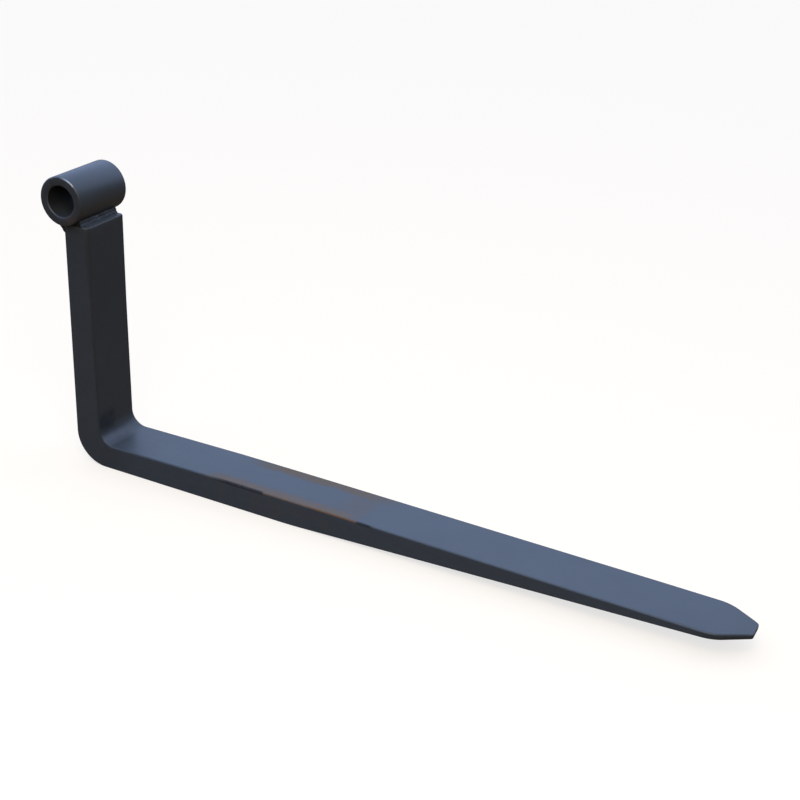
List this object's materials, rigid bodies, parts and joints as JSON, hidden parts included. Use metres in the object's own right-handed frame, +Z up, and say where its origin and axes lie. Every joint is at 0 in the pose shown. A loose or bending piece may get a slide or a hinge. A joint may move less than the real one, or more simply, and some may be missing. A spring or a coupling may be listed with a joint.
{
  "type": "forklift fork",
  "caption": "L-shaped forged lifting fork with a tapered blade, a pointed chisel tip and a thick eye tube welded across the top of its shank.",
  "frame": {"origin": "centre of the eye tube's bore", "axes": "+X along the blade towards its tip, +Y along the eye's bore, +Z up the shank"},
  "size_m": [1.3105, 0.127, 0.552],
  "materials": {
    "bar_paint": "semi-gloss dark grey enamel over scale-marked forged steel, scuffed to rust along the blade's edges",
    "tube_paint": "semi-gloss dark grey enamel over turned steel",
    "weld_paint": "semi-gloss dark grey enamel over a rippled weld bead"
  },
  "bodies": {
    "root": {"fork_bar": "bar_paint", "eye_tube": "tube_paint", "front_weld": "weld_paint", "rear_weld": "weld_paint"}
  },
  "joints": []
}
